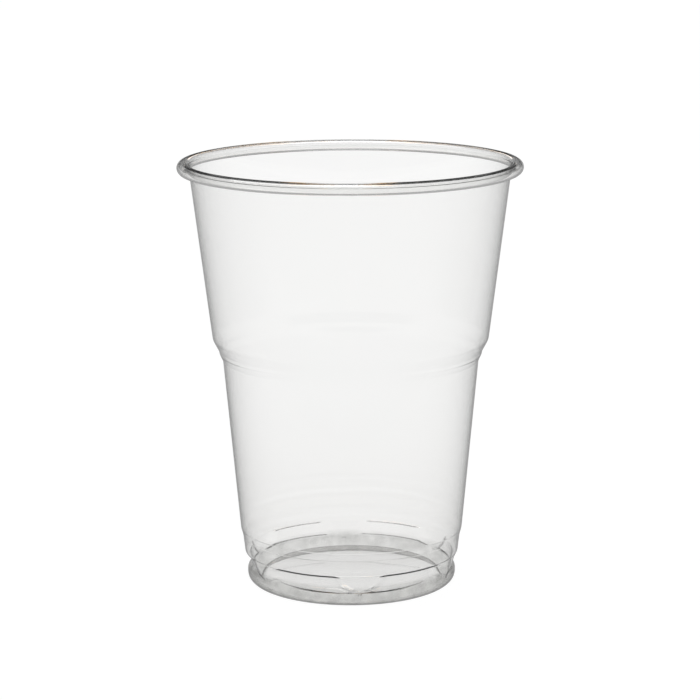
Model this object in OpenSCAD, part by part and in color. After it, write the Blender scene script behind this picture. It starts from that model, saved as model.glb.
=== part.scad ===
// Clear plastic party cup, thermoformed from one sheet.
// Units are millimetres. Z is up, the cup stands on z = 0 and its axis is the Z axis.
// The front, as the cup is usually seen, faces -Y.
// One line, walked from the middle of the floor out to the end of the rolled rim, is the
// sheet's lower or outer face. The sheet is that line thickened inwards and turned round Z.

/* [Rim] */
// Widest size across the rolled rim
rim_d = 95; // [90:0.5:100]
// Width of the rim, from the mouth to the outside of the roll
rim_w = 3.6; // [3.5:0.1:4.2]
// Height of the roll, from its top to its underside
roll_d = 3.2; // [2.8:0.1:3.6]
// Thickness of the sheet in the rim, where forming stretches it least
rim_wall = 0.5; // [0.4:0.05:0.7]
// Height under the roll over which the sheet thins down to the wall
rim_taper = 5; // [2:0.5:10]
// How far the sheet is curled over from the top of the roll, in degrees
roll_turn = 180; // [160:5:190]
// How far its end is tucked up inside after that, in degrees
tuck_turn = 110; // [60:5:120]
// Gap between the tucked end and the wall
tuck_gap = 0.3; // [0.2:0.05:0.5]

/* [Body] */
// Overall height
height = 118.6; // [105:0.1:140]
// Thickness of the sheet below the rim
wall = 0.4; // [0.3:0.05:0.5]
// Height of the waist, at the foot of the step halfway up
waist_z = 63.3; // [55:0.1:72]
// Outer diameter at the waist
waist_d = 71; // [69:0.1:73]
// Height of the lower rise of the step
low_rise_h = 1.9; // [1.2:0.1:2.5]
// How far the lower rise of the step goes out
low_rise_w = 0.9; // [0.5:0.05:1.2]
// Height of the tread between the two rises
tread_h = 1; // [0.8:0.1:2]
// How far the tread goes out
tread_w = 0.2; // [0.1:0.05:0.3]
// Height of the upper rise of the step
high_rise_h = 3.1; // [2.4:0.1:4]
// How far the upper rise of the step goes out
high_rise_w = 1.65; // [1.2:0.05:2.2]
// Bends at the foot of each rise
rise_bend = 0.6; // [0.6:0.1:1]
// Rounded shoulder at the top of the step
shoulder_bend = 3; // [1:0.5:4]

/* [Base] */
// Outer diameter of the foot
foot_d = 58.4; // [56:0.1:61]
// Rounding between the foot and the ring that the cup stands on
foot_round = 2.4; // [2:0.05:3.1]
// Width of the ring that the cup stands on, up to its inner bend
land_w = 1.4; // [1:0.1:2.5]
// Bend at the inside of that ring
land_bend = 0.6; // [0.6:0.1:0.9]
// Height where the foot starts to draw in to the neck
foot_top_z = 3.7; // [3.5:0.1:4]
// Bend at that height
foot_top_bend = 1.3; // [0.6:0.1:1.4]
// Height of the floor's upper face
floor_z = 2.5; // [2.3:0.1:6]
// Bend at the edge of the floor
floor_bend = 1.4; // [0.5:0.1:1.4]
// How far the riser under the floor leans in
riser_lean = 1; // [0.3:0.1:1.2]
// Depth of the neck, in from the foot
neck_in = 1.1; // [0.7:0.05:1.2]
// Height of the neck
neck_z = 5; // [4.9:0.05:5.5]
// Sharp bend at the neck
neck_bend = 0.2; // [0.1:0.05:0.6]
// Height of the stacking ledge
ledge_z = 8.5; // [8:0.05:10]
// How far the ledge stands out from the foot
ledge_out = 0.7; // [0.5:0.05:0.9]
// Sharp bend at the ledge, inside the sheet
ledge_bend = 0.1; // [0.1:0.05:0.3]
// Width of the shelf under the ledge
shelf_w = 1.2; // [0.8:0.05:1.3]
// How far the shelf drops from the ledge to the neck's wall
shelf_h = 0.3; // [0.1:0.05:0.8]
// Sharp bend at the inner edge of the shelf
shelf_bend = 0.2; // [0.1:0.05:0.5]
// Height of the band above the ledge
band_h = 4.65; // [3.5:0.05:7]
// How far the band leans out
band_lean = 0.55; // [0.4:0.05:0.9]
// Height of the small step above the band
base_step_h = 2.3; // [1.6:0.1:3]
// How far the small step goes out
base_step_w = 0.6; // [0.45:0.01:0.9]
// Bends of the small step
base_step_bend = 0.8; // [0.6:0.1:1]

/* [Stacking pockets] */
// Number of pockets that interrupt the ledge
pockets = 6; // [3:1:8]
// Width of a pocket at the ledge
pocket_w = 14.3; // [11:0.1:17]
// Width of a pocket at its foot
pocket_foot_w = 8.7; // [6:0.1:10]
// Rounding of the two corners at a pocket's foot
pocket_round = 2; // [1:0.1:2.5]
// Height of a pocket's foot
pocket_z = 4.5; // [4.3:0.05:4.7]
// How far a pocket's face stands out from the foot, at its own foot
pocket_out = 0.12; // [0.05:0.01:0.2]
// How far a pocket's face lies inside the band's face, where the two meet
pocket_inset = 0.03; // [0.02:0.01:0.06]
// Where the first pocket lies, in degrees round from the front
pocket_turn = 4.4; // [0:0.2:60]

/* [Hidden] */
bend_step = 9;          // degrees of bend in one flat strip
$fn = 180;
rim_r = rim_d / 2;
roll_r = roll_d / 2;
waist_r = waist_d / 2;
foot_r = foot_d / 2;
neck_r = foot_r - neck_in;
ledge_r = foot_r + ledge_out;
shelf_r = ledge_r - shelf_w;
shelf_z = ledge_z - shelf_h;
band_r = ledge_r + band_lean;
band_z = ledge_z + band_h;
body_r = band_r + base_step_w;
body_z = band_z + base_step_h;
land_r = foot_r - foot_round - land_w;
low_rise_r = waist_r + low_rise_w;
low_rise_z = waist_z + low_rise_h;
tread_r = low_rise_r + tread_w;
tread_z = low_rise_z + tread_h;
shoulder = [tread_r + high_rise_w, tread_z + high_rise_h];

// The upper wall runs straight to a corner above the mouth, where the sheet turns out to the roll
roll_in_r = roll_r - rim_wall;
roll_c = [rim_r - roll_r, height - roll_r];
rim_corner = [rim_r - rim_w + rim_wall, height - rim_wall];
roll_top = [roll_c[0], height - rim_wall];
taper_top_z = height - roll_d;
taper_foot_z = taper_top_z - rim_taper;
function on_wall(z) = shoulder
    + (rim_corner - shoulder) * (z - shoulder[1]) / (rim_corner[1] - shoulder[1]);
// The tucked end turns in a tighter bend, which leaves the gap to the wall
tuck_tighter = roll_r + tuck_gap - (roll_c[0] - on_wall(roll_c[1])[0]);
tuck_in_r = roll_in_r - tuck_tighter;
function thickness(z) = wall
    + (rim_wall - wall) * min(1, max(0, (z - taper_foot_z) / rim_taper));

// A pocket's face is straight from its own foot up to a cap that lies hidden in the band
pocket_cap_h = 1.6;                 // height of the cap above the ledge
pocket_cap_z = ledge_z + pocket_cap_h;
pocket_cap_r = ledge_r + pocket_cap_h * band_lean / band_h - pocket_inset;
pocket_foot_r = foot_r + pocket_out;
pocket_sill = 0.6;                  // height of the slope at a pocket's foot
function pocket_share(z) = (z - pocket_z) / (pocket_cap_z - pocket_z);
function pocket_r(z) = pocket_foot_r + (pocket_cap_r - pocket_foot_r) * pocket_share(z);
function pocket_half_w(z) = pocket_foot_w / 2
    + (pocket_w - pocket_foot_w) / 2 * (z - pocket_z) / (ledge_z - pocket_z);

// Vectors, and the bend of radius r at corner b between the points a and c
function polar(a) = [cos(a), sin(a)];
function unit(v) = v / norm(v);
function left_of(v) = [-v[1], v[0]];
function turn_between(u, v) = atan2(u[0] * v[1] - u[1] * v[0], u * v);
function bend(a, b, c, r) =
    let (u = unit(b - a),
         v = unit(c - b),
         turn = turn_between(u, v),
         side = sign(turn) * r,
         start = b - u * r * tan(abs(turn) / 2),
         n = max(2, ceil(abs(turn) / bend_step)))
    [for (i = [0:n])
        let (t = turn * i / n)
        start + side * (left_of(u) * (1 - cos(t)) + u * sin(t))];

// A line through corners of the form [r, z, bend], with each inner corner bent round
function spot(corner) = [corner[0], corner[1]];
function bent_line(c) = [for (i = [0:len(c) - 1])
    each (i == 0 || i == len(c) - 1)
        ? [spot(c[i])]
        : bend(spot(c[i - 1]), spot(c[i]), spot(c[i + 1]), c[i][2])];

// Point i of a line moved to the line's left by d, and the whole line moved so
function moved_point(p, i, d) =
    let (a = unit(i > 0 ? p[i] - p[i - 1] : p[1] - p[0]),
         b = unit(i < len(p) - 1 ? p[i + 1] - p[i] : p[i] - p[i - 1]),
         n = unit(left_of(a) + left_of(b)))
    p[i] + n * d / (n * left_of(a));
function moved_line(p, d) = [for (i = [0:len(p) - 1]) moved_point(p, i, d)];

function backwards(p) = [for (i = [len(p) - 1:-1:0]) p[i]];

// The outer face of the sheet: up to the rim's taper, from there to the top of the roll, and
// round the roll's inside. The other face lies the sheet's thickness to the left.
body_face = bent_line([
    [0, floor_z - wall, 0],
    [land_r - riser_lean, floor_z - wall, floor_bend],
    [land_r, 0, land_bend],
    [foot_r, 0, foot_round],
    [foot_r, foot_top_z, foot_top_bend],
    [neck_r, neck_z, neck_bend],
    [shelf_r, shelf_z, shelf_bend],
    [ledge_r, ledge_z, ledge_bend + wall],
    [band_r, band_z, base_step_bend],
    [body_r, body_z, base_step_bend],
    [waist_r, waist_z, rise_bend],
    [low_rise_r, low_rise_z, rise_bend],
    [tread_r, tread_z, rise_bend],
    [shoulder[0], shoulder[1], shoulder_bend],
    [each on_wall(taper_foot_z), 0]
]);
rim_face = bent_line([
    [each on_wall(taper_top_z), 0],
    [each rim_corner, roll_in_r],
    [each roll_top, 0]
]);
function curl(c, r, from, turn) =
    let (n = ceil(turn / bend_step))
    [for (i = [1:n]) c + r * polar(from - turn * i / n)];
tuck_from = 90 - roll_turn;
tuck_c = roll_c + tuck_tighter * polar(tuck_from);
roll_face = curl(roll_c, roll_in_r, 90, roll_turn);
tuck_face = curl(tuck_c, tuck_in_r, tuck_from, tuck_turn);
outer_face = concat(body_face, rim_face, roll_face, tuck_face);
inner_face = [for (i = [0:len(outer_face) - 1])
    moved_point(outer_face, i, thickness(outer_face[i][1]))];

// The whole sheet, turned round the axis
module sheet() {
    rotate_extrude()
        polygon(concat(outer_face, backwards(inner_face)));
}

// What a pocket adds outside the neck
module pocket_ring() {
    mid = wall / 2;
    rotate_extrude()
        polygon([
            [foot_r - mid, foot_top_z],
            [pocket_r(pocket_z), pocket_z + pocket_sill / 2],
            [pocket_cap_r, pocket_cap_z],
            [ledge_r - mid, pocket_cap_z],
            [ledge_r - mid, ledge_z + mid],
            [shelf_r - mid, shelf_z + mid],
            [neck_r - mid, neck_z]
        ]);
}

// What a pocket opens inside the neck
module pocket_hollow() {
    sill_z = pocket_z + pocket_sill / 2 + wall / 2;
    cavity_r = neck_r - 2 * wall;
    rotate_extrude()
        polygon([
            [cavity_r, sill_z - pocket_sill],
            [pocket_r(sill_z) - wall, sill_z],
            [pocket_cap_r - wall, pocket_cap_z],
            [cavity_r, pocket_cap_z]
        ]);
}

// The outline of the pockets, seen square on and pushed outwards, drawn in all round by inset
module pocket_outlines(inset) {
    top_z = pocket_cap_z + wall;
    foot_w = pocket_half_w(foot_top_z);
    top_w = pocket_half_w(top_z);
    outline = moved_line(bent_line([
        [top_w, top_z, 0],
        [foot_w, foot_top_z, pocket_round],
        [-foot_w, foot_top_z, pocket_round],
        [-top_w, top_z, 0]
    ]), -inset);
    for (i = [0:pockets - 1])
        rotate([90, 0, pocket_turn + 360 * i / pockets])
            translate([0, 0, neck_r / 2])
                linear_extrude(height = foot_r)
                    polygon(outline);
}

module cup() {
    color([0.93, 0.95, 0.95, 0.35])
    difference() {
        union() {
            sheet();
            intersection() {
                pocket_ring();
                pocket_outlines(0);
            }
        }
        intersection() {
            pocket_hollow();
            pocket_outlines(wall);
        }
    }
}

cup();
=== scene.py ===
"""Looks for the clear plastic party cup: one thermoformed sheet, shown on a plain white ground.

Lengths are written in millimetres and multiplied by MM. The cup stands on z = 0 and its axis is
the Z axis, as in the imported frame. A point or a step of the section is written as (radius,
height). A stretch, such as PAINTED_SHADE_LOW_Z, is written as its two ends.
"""

import math

import bmesh
import bpy
from mathutils import Matrix, Vector


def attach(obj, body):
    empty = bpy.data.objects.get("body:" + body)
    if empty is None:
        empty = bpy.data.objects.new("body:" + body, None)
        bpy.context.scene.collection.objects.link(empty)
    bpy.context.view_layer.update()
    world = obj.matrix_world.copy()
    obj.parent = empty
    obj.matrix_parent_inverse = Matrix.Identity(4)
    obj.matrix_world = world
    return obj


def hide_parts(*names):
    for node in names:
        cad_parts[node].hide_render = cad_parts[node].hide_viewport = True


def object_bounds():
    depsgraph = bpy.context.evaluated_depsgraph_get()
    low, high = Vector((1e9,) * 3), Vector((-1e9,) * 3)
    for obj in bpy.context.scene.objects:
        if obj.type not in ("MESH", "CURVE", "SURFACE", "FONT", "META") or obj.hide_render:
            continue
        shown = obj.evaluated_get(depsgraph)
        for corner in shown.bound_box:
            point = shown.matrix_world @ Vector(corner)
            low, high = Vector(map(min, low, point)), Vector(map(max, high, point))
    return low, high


MM = 0.001
FRONT = math.radians(-90)  # the side that the photograph shows faces -Y

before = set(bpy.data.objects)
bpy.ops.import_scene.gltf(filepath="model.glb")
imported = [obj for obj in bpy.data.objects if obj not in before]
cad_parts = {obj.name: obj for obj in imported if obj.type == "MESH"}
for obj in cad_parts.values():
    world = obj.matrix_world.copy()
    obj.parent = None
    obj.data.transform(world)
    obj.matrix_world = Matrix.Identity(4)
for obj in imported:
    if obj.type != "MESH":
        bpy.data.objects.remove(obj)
cad_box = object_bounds()
RIM_R = cad_box[1].x / MM
HEIGHT = cad_box[1].z / MM

# The sheet, which is thicker in the rim and thins down to the wall below it
WALL = 0.4
RIM_WALL = 0.5
RIM_TAPER = 5.0
COLUMNS = 300  # steps round the axis
BEND_STEP = math.radians(11)
BEND_SEGMENTS = 3  # the fewest that a bend has
MERGE_DISTANCE = 0.001
SHARP_EDGE = math.radians(50)

# Rolled rim, curled over from the top of the roll, with its end tucked up inside in a tighter bend
RIM_W = 3.6
ROLL_D = 3.2
ROLL_TURN = math.radians(180)
TUCK_TURN = math.radians(110)
TUCK_TIGHTER = 0.26
ROLL_R = ROLL_D / 2
ROLL_IN_R = ROLL_R - RIM_WALL
ROLL_CENTRE = Vector((RIM_R - ROLL_R, 0, HEIGHT - ROLL_R))
RIM_CORNER = (RIM_R - RIM_W + RIM_WALL, HEIGHT - RIM_WALL)
ROLL_TOP = (ROLL_CENTRE.x, HEIGHT - RIM_WALL)
TAPER_TOP_Z = HEIGHT - ROLL_D
TAPER_FOOT_Z = TAPER_TOP_Z - RIM_TAPER

# Body, from the small step above the foot to the shoulder under the upper wall
WAIST = (35.5, 63.3)
LOW_RISE = (0.9, 1.9)
TREAD = (0.2, 1.0)
HIGH_RISE = (1.65, 3.1)
RISE_BEND = 0.6
SHOULDER_BEND = 3.0

# Floor, riser, standing ring and foot
FOOT_R = 29.2
FOOT_ROUND = 2.4
FOOT_TOP_Z = 3.7
FOOT_TOP_BEND = 1.3
LAND_W = 1.4
LAND_R = FOOT_R - FOOT_ROUND - LAND_W
LAND_BEND = 0.6
FLOOR_Z = 2.5
FLOOR_BEND = 1.4
RISER_LEAN = 1.0

# Neck, shelf, stacking ledge and the band above it, up to the lower wall
NECK_IN = 1.1
NECK = (FOOT_R - NECK_IN, 5.0)
NECK_BEND = 0.2
LEDGE_OUT = 0.7
LEDGE = (FOOT_R + LEDGE_OUT, 8.5)
LEDGE_BEND = 0.1 + WALL
SHELF_W = 1.2
SHELF_H = 0.3
SHELF = (LEDGE[0] - SHELF_W, LEDGE[1] - SHELF_H)
SHELF_BEND = 0.2
BAND_LEAN = 0.55
BAND_H = 4.65
BAND = (LEDGE[0] + BAND_LEAN, LEDGE[1] + BAND_H)
BASE_STEP_W = 0.6
BASE_STEP_H = 2.3
BASE_STEP_BEND = 0.8
BODY_FOOT = (BAND[0] + BASE_STEP_W, BAND[1] + BASE_STEP_H)

# Stacking pockets
POCKETS = 6
POCKET_SECTOR = 2 * math.pi / POCKETS
POCKET_START = FRONT + math.radians(4.4)
POCKET_W = 14.3
POCKET_FOOT_W = 8.7
POCKET_ROUND = 2.0
POCKET_OUT = 0.12  # how far a pocket's foot stands out from the foot's wall
POCKET_FOOT = (FOOT_R + POCKET_OUT, 4.5)
POCKET_UP_BAND = 1.6  # how far up the band a pocket runs
POCKET_INSET = 0.03  # how far its upper end stands inside the band
POCKET_CAP_Z = LEDGE[1] + POCKET_UP_BAND
POCKET_CAP_R = LEDGE[0] + POCKET_UP_BAND * BAND_LEAN / BAND_H - POCKET_INSET
POCKET_EDGE_IN = math.radians(4)  # how far a pocket's side slopes, in from its outline and out
POCKET_EDGE_OUT = math.radians(3)

# Rows and columns of faces that the pockets are pushed out of
NECK_ROW = 0.25
NECK_ROWS_R = NECK[0] - 0.5
NECK_ROWS_FOOT_Z = FOOT_TOP_Z - 2
GATHER_FROM_Z = (FOOT_TOP_Z - 1.3, FOOT_TOP_Z - 0.3)  # over which the columns gather
GATHER_TO_Z = (BAND[1] - 2.5, BAND[1] - 0.5)  # over which they spread out again
POCKET_FACE_COLUMNS = 0.28  # share of the columns on a pocket's face
POCKET_SIDE_COLUMNS = 0.48  # share of them up to the end of its side

# The plastic
IOR = 1.49
ROUGHNESS = (0.015, 0.045)
DEPTH_COLOUR = (0.34, 0.35, 0.35, 1)
DEPTH_DENSITY = 30
CLOUD_DARK = (0.988, 0.988, 0.983, 1)
CLOUD_LIGHT = (0.998, 0.998, 0.995, 1)

# Noises in the plastic, as (waves per metre, detail, share of the waves along each axis)
CLOUD = (60, 2, (1, 1, 1))
# Noise for soft rings of painted shade in the lower wall
SHADE_RINGS = (330, 1, (0.04, 0.04, 1))
# Noise for grey patches of painted shade and reflections in the foot
FOOT_SHADE_PATCHES = (260, 3, (1, 1, 1))
DRAW_LINES = (300, 2, (1, 1, 0.02))
MOTTLE = (280, 1, (0.5, 0.5, 1))
NOISE_SPAN = (0.3, 0.7)  # what a noise value is spread from

# Painted shade: the plastic's colour darkens towards the foot, where the sheet is seen through itself
# several times
PAINTED_SHADE_LOW = (0.955, 0.953, 0.947, 1)
PAINTED_SHADE_LOW_Z = (9, 45)
# Soft rings of painted shade, low on the wall
SHADE_RINGS_Z = (14, 26)
SHADE_RINGS_SHARE = 0.9  # how far the rings of painted shade sway the painted shade towards the foot

# Painted shade and reflections: grey patches in the foot's wall, which spare the floor
FOOT_SHADE_DARK = (0.62, 0.62, 0.61, 1)
FOOT_SHADE_LIGHT = (0.82, 0.82, 0.81, 1)
FOOT_SHADE_Z = (4, 6)
FLOOR_SPARED_R = (23, 27)

# Draw lines up the wall, and the uneven surface of the base
DRAW_LINES_STRENGTH = 0.15
DRAW_LINES_H = 0.02
MOTTLE_STRENGTH = 0.5
MOTTLE_H = 0.09
MOTTLE_Z = (5, 8.5)
FLOOR_MOTTLE = 0.4  # how uneven the floor is, next to the foot's wall

# Studio, as colours along a direction's height
WHITE = (1, 1, 1, 1)
CEILING_THROUGH = [(0.55, WHITE), (0.70, (0.1, 0.1, 0.1, 1))]
ABOVE = [(0.05, (0, 0, 0, 1)), (0.09, WHITE)]
ROOM = (0.38, 0.38, 0.38, 1)
UPPER_ROOM = (0.04, 0.04, 0.04, 1)
INNER_ROOM = (0.62, 0.62, 0.62, 1)  # what reflections inside the cup meet through its wall
INNER_PASSES = 2.5  # light inside the cup has passed through more faces than this

# Floor of the studio
GROUND_R = 3000
GROUND_SIDES = 96
GROUND_DROP = 0.05
GROUND_PAINT = (0.85, 0.85, 0.85, 1)
GROUND_PAINT_SHARE = 0.1
GROUND_GLOW = 1.08  # makes up for the paint, so that the open floor is white
GROUND_IN_REFLECTIONS = 0.45

# Strip lights that stand behind the cup, above the picture, as (left edge, right edge, colour)
AMBER = (1, 0.6, 0.25)
STRIPS = [(-32, -23, AMBER), (-23, 14, WHITE[:3]), (14, 22, AMBER)]
STRIP_BEHIND = 430
STRIP_FOOT_Z = 200
STRIP_TOP_Z = 660
STRIP_RADIANCE = 1.3

# Softbox over the cup, on the left and behind it
SOFTBOX = (-350, 250, 900)
SOFTBOX_AIM = (0, 0, 60)
SOFTBOX_SIZE = 500
SOFTBOX_POWER = 1.2

# The photograph's camera
CAMERA_AIM = (0, 0, 65.5)
CAMERA_DISTANCE = 725
CAMERA_DOWN = math.radians(11.7)
CAMERA_ROLL = math.radians(-0.2)
CAMERA_SENSOR = 36
CAMERA_LENS = 134.16
CAMERA_SHIFT_X = -0.0011
CAMERA_NEAREST = 10


# The section of the sheet


def blend(a, b, share):
    """The value at this share of the way from a to b."""
    return a + (b - a) * share


def share_of_way(span, value):
    """How far a value has come through a span, as a share of it."""
    return (value - span[0]) / (span[1] - span[0])


def smooth_step(x):
    """Eases from 0 to 1 while x goes from 0 to 1."""
    x = min(1.0, max(0.0, x))
    return x * x * (3 - 2 * x)


def on_wall(shoulder, z):
    """Where the upper wall's outer face is at height z."""
    rise = share_of_way((shoulder[1], RIM_CORNER[1]), z)
    return blend(shoulder[0], RIM_CORNER[0], rise), z


def thickness_at(z):
    """Thickness of the sheet at height z, in millimetres."""
    thickening = share_of_way((TAPER_FOOT_Z, TAPER_TOP_Z), z)
    return blend(WALL, RIM_WALL, min(1.0, max(0.0, thickening)))


def sheet_corners():
    """Corners of the sheet's outer face, as (radius, height, bend), from the floor to the rim."""
    low = (WAIST[0] + LOW_RISE[0], WAIST[1] + LOW_RISE[1])
    tread = (low[0] + TREAD[0], low[1] + TREAD[1])
    shoulder = (tread[0] + HIGH_RISE[0], tread[1] + HIGH_RISE[1])
    return [
        (0, FLOOR_Z - WALL, 0),
        (LAND_R - RISER_LEAN, FLOOR_Z - WALL, FLOOR_BEND),
        (LAND_R, 0, LAND_BEND),
        (FOOT_R, 0, FOOT_ROUND),
        (FOOT_R, FOOT_TOP_Z, FOOT_TOP_BEND),
        (*NECK, NECK_BEND),
        (*SHELF, SHELF_BEND),
        (*LEDGE, LEDGE_BEND),
        (*BAND, BASE_STEP_BEND),
        (*BODY_FOOT, BASE_STEP_BEND),
        (*WAIST, RISE_BEND),
        (*low, RISE_BEND),
        (*tread, RISE_BEND),
        (*shoulder, SHOULDER_BEND),
        (*on_wall(shoulder, TAPER_FOOT_Z), 0),
        (*on_wall(shoulder, TAPER_TOP_Z), 0),
        (*RIM_CORNER, ROLL_IN_R),
        (*ROLL_TOP, 0),
    ]


def bend_corner(bm, corner, radius):
    """Rounds one corner of the line with an arc of the given radius."""
    arms = [edge.other_vert(corner).co - corner.co for edge in corner.link_edges]
    turn = math.pi - arms[0].angle(arms[1])
    bmesh.ops.bevel(
        bm,
        geom=[corner],
        affect="VERTICES",
        offset_type="OFFSET",
        offset=radius * math.tan(turn / 2),
        segments=max(BEND_SEGMENTS, math.ceil(turn / BEND_STEP)),
        profile=0.5,
        clamp_overlap=False,
        material=-1,
    )


def curl(bm, end, centre, turn):
    """Draws the line on from its end, round a centre, and gives the new end."""
    drawn = bmesh.ops.spin(
        bm,
        geom=[end],
        cent=centre,
        axis=(0, 1, 0),
        angle=turn,
        steps=math.ceil(turn / BEND_STEP),
    )
    return next(item for item in drawn["geom_last"] if isinstance(item, bmesh.types.BMVert))


def divide_neck_rows(bm):
    """Cuts the line's long stretches between the foot and the band, so that the pockets have rows."""
    for edge in list(bm.edges):
        low, high = sorted(vert.co.z for vert in edge.verts)
        on_neck = low > NECK_ROWS_FOOT_Z and high < BAND[1] and edge.verts[0].co.x > NECK_ROWS_R
        cuts = math.ceil(edge.calc_length() / NECK_ROW) - 1
        if on_neck and cuts > 0:
            bmesh.ops.subdivide_edges(bm, edges=[edge], cuts=cuts)


def sheet_line():
    """The sheet's outer face as a line of edges in the XZ plane, in millimetres."""
    corners = sheet_corners()
    bm = bmesh.new()
    line = [bm.verts.new((r, 0, z)) for r, z, _ in corners]
    for a, b in zip(line, line[1:]):
        bm.edges.new((a, b))
    rolled = curl(bm, line[-1], ROLL_CENTRE, ROLL_TURN)
    curl(bm, rolled, ROLL_CENTRE - Vector((0, 0, TUCK_TIGHTER)), TUCK_TURN)
    for vert, (_, _, radius) in zip(line, corners):
        if radius > 0:
            bend_corner(bm, vert, radius)
    divide_neck_rows(bm)
    return bm


# The cup, turned from that section


def turn_round_axis(bm):
    """Turns the line round the Z axis, starting at the middle of the first pocket."""
    bmesh.ops.rotate(bm, cent=(0, 0, 0), matrix=Matrix.Rotation(POCKET_START, 3, "Z"), verts=bm.verts)
    bmesh.ops.spin(
        bm,
        geom=bm.verts[:] + bm.edges[:],
        cent=(0, 0, 0),
        axis=(0, 0, 1),
        angle=2 * math.pi,
        steps=COLUMNS,
        use_merge=True,
    )
    bmesh.ops.remove_doubles(bm, verts=bm.verts, dist=MERGE_DISTANCE)
    bmesh.ops.recalc_face_normals(bm, faces=bm.faces)
    bm.normal_update()
    point_faces_outwards(bm)


def point_faces_outwards(bm):
    """Turns the open sheet's faces over if those of the lower wall look at the axis."""
    on_lower_wall = next(
        face for face in bm.faces if BODY_FOOT[1] < face.calc_center_median().z < WAIST[1]
    )
    if on_lower_wall.normal.dot(on_lower_wall.calc_center_median()) < 0:
        bmesh.ops.reverse_faces(bm, faces=bm.faces)


def pocket_half_angle(z):
    """Half of the angle that a pocket takes up round the cup at height z."""
    rise = share_of_way((POCKET_FOOT[1], LEDGE[1]), z)
    drop = min(POCKET_ROUND, max(0.0, POCKET_FOOT[1] + POCKET_ROUND - z))
    corner = POCKET_ROUND - math.sqrt(POCKET_ROUND**2 - drop**2)
    return math.asin((blend(POCKET_FOOT_W, POCKET_W, rise) / 2 - corner) / LEDGE[0])


def pocket_face_r(z):
    """Radius of a pocket's face at height z."""
    return blend(POCKET_FOOT[0], POCKET_CAP_R, share_of_way((POCKET_FOOT[1], POCKET_CAP_Z), z))


def gathered_angle(share, half_angle):
    """Angle of a column at this share of half a sector, with columns gathered along the pocket's side."""
    knots = [
        (0, 0),
        (POCKET_FACE_COLUMNS, half_angle - POCKET_EDGE_IN),
        (POCKET_SIDE_COLUMNS, half_angle + POCKET_EDGE_OUT),
        (1, POCKET_SECTOR / 2),
    ]
    for (s0, a0), (s1, a1) in zip(knots, knots[1:]):
        if share <= s1:
            return blend(a0, a1, share_of_way((s0, s1), share))
    return POCKET_SECTOR / 2


def push_out_pockets(bm):
    """Fills the neck out to a straight face in six places round the cup."""
    for vert in bm.verts:
        r, z = vert.co.xy.length, vert.co.z
        if r < NECK_ROWS_R or not NECK_ROWS_FOOT_Z < z < BAND[1]:
            continue
        angle = math.atan2(vert.co.y, vert.co.x) - POCKET_START
        sector = round(angle / POCKET_SECTOR)
        from_middle = angle - sector * POCKET_SECTOR
        half_angle = pocket_half_angle(z)
        gathered = gathered_angle(abs(from_middle) / (POCKET_SECTOR / 2), half_angle)
        above_foot = smooth_step(share_of_way(GATHER_FROM_Z, z))
        below_top = smooth_step(1 - share_of_way(GATHER_TO_Z, z))
        to_middle = blend(abs(from_middle), gathered, above_foot * below_top)
        slope = (half_angle + POCKET_EDGE_OUT - to_middle) / (POCKET_EDGE_IN + POCKET_EDGE_OUT)
        r += smooth_step(slope) * max(0.0, pocket_face_r(z) - r)
        angle = POCKET_START + sector * POCKET_SECTOR + math.copysign(to_middle, from_middle)
        vert.co.x, vert.co.y = r * math.cos(angle), r * math.sin(angle)


def thicken(piece):
    """Gives the sheet its thickness, inwards from its outer face, and keeps the cut edge sharp."""
    share = piece.vertex_groups.new(name="share_of_rim_wall")
    for vert in piece.data.vertices:
        share.add([vert.index], thickness_at(vert.co.z / MM) / RIM_WALL, "REPLACE")
    shell = piece.modifiers.new("thickness", "SOLIDIFY")
    shell.vertex_group = share.name
    shell.thickness = RIM_WALL * MM
    shell.offset = -1
    shell.use_even_offset = True
    solid = bpy.data.meshes.new_from_object(piece.evaluated_get(bpy.context.evaluated_depsgraph_get()))
    piece.modifiers.clear()
    piece.vertex_groups.clear()
    piece.data = solid
    solid.shade_smooth()
    solid.set_sharp_from_angle(angle=SHARP_EDGE)


def new_piece(name, bm):
    """An object at the origin that holds the bmesh."""
    mesh = bpy.data.meshes.new(name)
    bm.to_mesh(mesh)
    bm.free()
    piece = bpy.data.objects.new(name, mesh)
    bpy.context.scene.collection.objects.link(piece)
    return piece


def make_cup():
    """The whole cup as one closed sheet."""
    bm = sheet_line()
    turn_round_axis(bm)
    push_out_pockets(bm)
    bmesh.ops.scale(bm, vec=(MM, MM, MM), verts=bm.verts)
    cup = new_piece("party_cup", bm)
    thicken(cup)
    cup.data.materials.append(clear_plastic())
    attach(cup, "root")
    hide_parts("cup")


# Nodes that the materials and the studio share


def new_material(name):
    """A material and its emptied node tree."""
    material = bpy.data.materials.new(name)
    material.use_nodes = True
    material.node_tree.nodes.clear()
    return material, material.node_tree


def feed(tree, node_input, value):
    """Gives an input a plain value, or links it to a node's output."""
    if isinstance(value, bpy.types.NodeSocket):
        tree.links.new(value, node_input)
    else:
        node_input.default_value = value


def math_node(tree, operation, *values):
    """The result of one operation on numbers or on other nodes' values."""
    node = tree.nodes.new("ShaderNodeMath")
    node.operation = operation
    for node_input, value in zip(node.inputs, values):
        feed(tree, node_input, value)
    return node.outputs["Value"]


def mixed(tree, share, a, b):
    """A blend of two colours."""
    mix = tree.nodes.new("ShaderNodeMix")
    mix.data_type = "RGBA"
    feed(tree, mix.inputs["Factor"], share)
    feed(tree, mix.inputs["A"], a)
    feed(tree, mix.inputs["B"], b)
    return mix.outputs["Result"]


def mixed_shaders(tree, share, a, b):
    """A blend of two shaders."""
    mix = tree.nodes.new("ShaderNodeMixShader")
    tree.links.new(share, mix.inputs["Fac"])
    tree.links.new(a, mix.inputs[1])
    tree.links.new(b, mix.inputs[2])
    return mix.outputs["Shader"]


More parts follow.
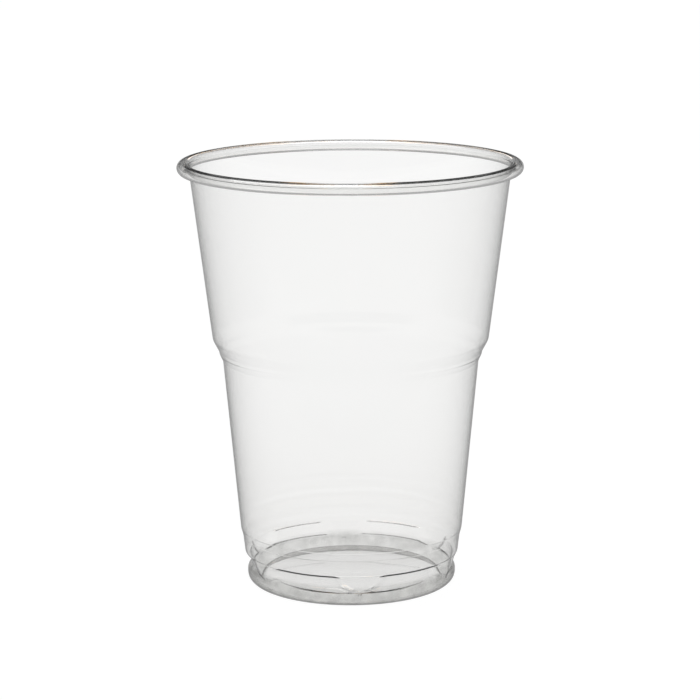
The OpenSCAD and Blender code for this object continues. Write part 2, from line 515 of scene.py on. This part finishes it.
def spread(tree, value, span, low, high):
    """A value's way through a span, spread between two numbers and held at both ends."""
    node = tree.nodes.new("ShaderNodeMapRange")
    node.inputs["From Min"].default_value = span[0]
    node.inputs["From Max"].default_value = span[1]
    node.inputs["To Min"].default_value = low
    node.inputs["To Max"].default_value = high
    tree.links.new(value, node.inputs["Value"])
    return node.outputs["Result"]


def ramp_up(tree, length, span):
    """0 where a length is below the span, in millimetres, and 1 where it is above."""
    return spread(tree, length, (span[0] * MM, span[1] * MM), 0, 1)


def ramp_down(tree, length, span):
    """1 where a length is below the span, in millimetres, and 0 where it is above."""
    return spread(tree, length, (span[0] * MM, span[1] * MM), 1, 0)


def noise(tree, place, scale, detail, stretch):
    """Noise on the piece's own coordinates."""
    mapping = tree.nodes.new("ShaderNodeMapping")
    mapping.inputs["Scale"].default_value = stretch
    tree.links.new(place, mapping.inputs["Vector"])
    texture = tree.nodes.new("ShaderNodeTexNoise")
    texture.inputs["Scale"].default_value = scale
    texture.inputs["Detail"].default_value = detail
    tree.links.new(mapping.outputs["Vector"], texture.inputs["Vector"])
    return texture.outputs["Fac"]


def colour_steps(tree, value, steps):
    """A colour ramp between two steps, each a position and a colour."""
    ramp = tree.nodes.new("ShaderNodeValToRGB")
    for point, (position, colour) in zip(ramp.color_ramp.elements, steps):
        point.position = position
        point.color = colour
    tree.links.new(value, ramp.inputs["Fac"])
    return ramp.outputs["Color"]


def light_paths_met(tree, path, *kinds):
    """1 for light of any of these kinds, and 0 for the rest."""
    met = path.outputs[kinds[0]]
    for kind in kinds[1:]:
        met = math_node(tree, "MAXIMUM", met, path.outputs[kind])
    return met


def once_reflected(tree, path):
    """1 for light that has been reflected at least once."""
    return math_node(tree, "MINIMUM", path.outputs["Glossy Depth"], 1.0)


# The finish of the plastic


def distance_from_axis(tree, along):
    """How far a point is from the cup's axis."""
    across = math_node(tree, "MULTIPLY", along.outputs["X"], along.outputs["X"])
    deep = math_node(tree, "MULTIPLY", along.outputs["Y"], along.outputs["Y"])
    return math_node(tree, "SQRT", math_node(tree, "ADD", across, deep))


def wall_colour_and_painted_shade(tree, place, z, cloud):
    """Almost clear, with painted shade and its soft rings of painted shade towards the foot."""
    # Soft rings of painted shade
    rings = noise(tree, place, *SHADE_RINGS)
    rings = spread(tree, rings, NOISE_SPAN, -SHADE_RINGS_SHARE, SHADE_RINGS_SHARE)
    # Share of the wall's own colour; the rest is painted shade that darkens towards the foot
    unshaded_share = ramp_up(tree, z, PAINTED_SHADE_LOW_Z)
    unshaded_share = math_node(tree, "MULTIPLY_ADD", rings, ramp_down(tree, z, SHADE_RINGS_Z), unshaded_share)
    return mixed(tree, unshaded_share, PAINTED_SHADE_LOW, mixed(tree, cloud, CLOUD_DARK, CLOUD_LIGHT))


def foot_painted_shade(tree, place):
    """Grey patches of painted shade and reflections."""
    patches = spread(tree, noise(tree, place, *FOOT_SHADE_PATCHES), NOISE_SPAN, 0, 1)
    return mixed(tree, patches, FOOT_SHADE_DARK, FOOT_SHADE_LIGHT)


def bump(tree, height, strength, depth, under=None):
    """A bumpy surface, on top of the one under it."""
    node = tree.nodes.new("ShaderNodeBump")
    node.inputs["Strength"].default_value = strength
    node.inputs["Distance"].default_value = depth * MM
    tree.links.new(height, node.inputs["Height"])
    if under:
        tree.links.new(under, node.inputs["Normal"])
    return node.outputs["Normal"]


def sheet_surface(tree, place, z, off_floor):
    """Faint draw lines up the wall, and an uneven base."""
    draw_lines = noise(tree, place, *DRAW_LINES)
    drawn = bump(tree, draw_lines, DRAW_LINES_STRENGTH, DRAW_LINES_H)
    streaks = noise(tree, place, *MOTTLE)
    floor_share = math_node(tree, "MULTIPLY_ADD", off_floor, 1 - FLOOR_MOTTLE, FLOOR_MOTTLE)
    mottle = math_node(tree, "MULTIPLY", streaks, ramp_down(tree, z, MOTTLE_Z))
    mottle = math_node(tree, "MULTIPLY", mottle, floor_share)
    return bump(tree, mottle, MOTTLE_STRENGTH, MOTTLE_H, under=drawn)


def clear_plastic():
    """Clear glossy sheet plastic, with painted shade towards the foot and painted shade and reflections
    in the foot's wall, uneven at the foot, with faint draw lines up the wall.
    """
    material, tree = new_material("clear_plastic")
    place = tree.nodes.new("ShaderNodeTexCoord").outputs["Object"]
    along = tree.nodes.new("ShaderNodeSeparateXYZ")
    tree.links.new(place, along.inputs["Vector"])
    z = along.outputs["Z"]
    off_floor = ramp_up(tree, distance_from_axis(tree, along), FLOOR_SPARED_R)
    # Where the foot's wall gets painted shade and reflections in place of the wall's colour
    foot_shade_mask = math_node(tree, "MULTIPLY", ramp_down(tree, z, FOOT_SHADE_Z), off_floor)
    cloud = noise(tree, place, *CLOUD)
    colour = mixed(tree, foot_shade_mask, wall_colour_and_painted_shade(tree, place, z, cloud), foot_painted_shade(tree, place))

    plastic = tree.nodes.new("ShaderNodeBsdfPrincipled")
    plastic.inputs["IOR"].default_value = IOR
    plastic.inputs["Transmission Weight"].default_value = 1.0
    tree.links.new(colour, plastic.inputs["Base Color"])
    tree.links.new(spread(tree, cloud, NOISE_SPAN, *ROUGHNESS), plastic.inputs["Roughness"])
    tree.links.new(sheet_surface(tree, place, z, off_floor), plastic.inputs["Normal"])

    depth = tree.nodes.new("ShaderNodeVolumeAbsorption")
    depth.inputs["Color"].default_value = DEPTH_COLOUR
    depth.inputs["Density"].default_value = DEPTH_DENSITY

    output = tree.nodes.new("ShaderNodeOutputMaterial")
    tree.links.new(plastic.outputs["BSDF"], output.inputs["Surface"])
    tree.links.new(depth.outputs["Volume"], output.inputs["Volume"])
    return material


# The studio


def white_ground():
    """White to the camera, to glass and in reflections, with a thin share of paint for the shadow."""
    material, tree = new_material("white_floor")
    path = tree.nodes.new("ShaderNodeLightPath")
    paint = tree.nodes.new("ShaderNodeBsdfDiffuse")
    paint.inputs["Color"].default_value = GROUND_PAINT
    dimmer = GROUND_IN_REFLECTIONS - GROUND_GLOW
    glow = tree.nodes.new("ShaderNodeEmission")
    strength = math_node(tree, "MULTIPLY_ADD", once_reflected(tree, path), dimmer, GROUND_GLOW)
    tree.links.new(strength, glow.inputs["Strength"])
    seen = light_paths_met(tree, path, "Is Camera Ray", "Is Glossy Ray", "Is Transmission Ray")
    glow_share = math_node(tree, "MULTIPLY", seen, 1 - GROUND_PAINT_SHARE)
    white = mixed_shaders(tree, glow_share, paint.outputs["BSDF"], glow.outputs["Emission"])

    from_below = tree.nodes.new("ShaderNodeNewGeometry").outputs["Backfacing"]
    open_below = tree.nodes.new("ShaderNodeBsdfTransparent").outputs["BSDF"]
    output = tree.nodes.new("ShaderNodeOutputMaterial")
    tree.links.new(mixed_shaders(tree, from_below, white, open_below), output.inputs["Surface"])
    return material


def make_floor():
    """A wide round floor, just under the cup."""
    bm = bmesh.new()
    bmesh.ops.create_circle(bm, cap_ends=True, segments=GROUND_SIDES, radius=GROUND_R * MM)
    bmesh.ops.translate(bm, vec=(0, 0, -GROUND_DROP * MM), verts=bm.verts)
    floor = new_piece("floor", bm)
    floor.data.materials.append(white_ground())


def make_world():
    """White for the camera and through the plastic, and in reflections a dim room, darker above."""
    world = bpy.data.worlds.new("studio")
    bpy.context.scene.world = world
    world.use_nodes = True
    tree = world.node_tree
    tree.nodes.clear()
    path = tree.nodes.new("ShaderNodeLightPath")
    towards = tree.nodes.new("ShaderNodeSeparateXYZ")
    directions = tree.nodes.new("ShaderNodeTexCoord").outputs["Generated"]
    tree.links.new(directions, towards.inputs["Vector"])

    through = colour_steps(tree, towards.outputs["Z"], CEILING_THROUGH)
    above = colour_steps(tree, towards.outputs["Z"], ABOVE)
    inside = math_node(tree, "GREATER_THAN", path.outputs["Transmission Depth"], INNER_PASSES)
    room = mixed(tree, above, ROOM, mixed(tree, inside, UPPER_ROOM, INNER_ROOM))
    met = mixed(tree, once_reflected(tree, path), through, room)
    shown = mixed(tree, path.outputs["Is Camera Ray"], met, WHITE)

    background = tree.nodes.new("ShaderNodeBackground")
    tree.links.new(shown, background.inputs["Color"])
    output = tree.nodes.new("ShaderNodeOutputWorld")
    tree.links.new(background.outputs["Background"], output.inputs["Surface"])


def new_lamp(name, shape, size, power):
    """An area lamp of the given shape, as an object and its light."""
    light = bpy.data.lights.new(name, "AREA")
    light.shape = shape
    light.size = size * MM
    light.energy = power
    lamp = bpy.data.objects.new(name, light)
    bpy.context.scene.collection.objects.link(lamp)
    return lamp, light


def make_softbox():
    """A square lamp over the cup that faces its middle."""
    lamp, _ = new_lamp("overhead", "SQUARE", SOFTBOX_SIZE, SOFTBOX_POWER)
    lamp.location = MM * Vector(SOFTBOX)
    lamp.rotation_mode = "QUATERNION"
    lamp.rotation_quaternion = (Vector(SOFTBOX_AIM) - Vector(SOFTBOX)).to_track_quat("-Z", "Y")


def make_strip(name, left, right, colour):
    """A tall narrow lamp behind the cup that faces the camera's side."""
    width, tall = right - left, STRIP_TOP_Z - STRIP_FOOT_Z
    power = STRIP_RADIANCE * math.pi * (width * MM) * (tall * MM)
    lamp, light = new_lamp(name, "RECTANGLE", width, power)
    light.size_y = tall * MM
    light.color = colour
    lamp.location = MM * Vector(((left + right) / 2, STRIP_BEHIND, (STRIP_FOOT_Z + STRIP_TOP_Z) / 2))
    lamp.rotation_euler = (math.radians(-90), 0, 0)


def make_camera():
    """The photograph's camera, which looks a little down at the cup and is barely rolled."""
    forward = Vector((0, math.cos(CAMERA_DOWN), -math.sin(CAMERA_DOWN)))
    right, up = Vector((1, 0, 0)), Vector((0, math.sin(CAMERA_DOWN), math.cos(CAMERA_DOWN)))
    across = math.cos(CAMERA_ROLL) * right + math.sin(CAMERA_ROLL) * up
    upright = math.cos(CAMERA_ROLL) * up - math.sin(CAMERA_ROLL) * right
    place = MM * (Vector(CAMERA_AIM) - CAMERA_DISTANCE * forward)
    data = bpy.data.cameras.new("camera")
    data.sensor_width = CAMERA_SENSOR
    data.lens = CAMERA_LENS
    data.shift_x = CAMERA_SHIFT_X
    data.clip_start = CAMERA_NEAREST * MM
    camera = bpy.data.objects.new("camera", data)
    turned = Matrix((across, upright, -forward)).transposed().to_4x4()
    camera.matrix_world = Matrix.Translation(place) @ turned
    bpy.context.scene.collection.objects.link(camera)
    bpy.context.scene.camera = camera


make_camera()
make_cup()
make_floor()
make_world()
make_softbox()
for number, (left, right, colour) in enumerate(STRIPS):
    make_strip(f"strip_{number}", left, right, colour)
bpy.context.scene.view_settings.view_transform = "Standard"
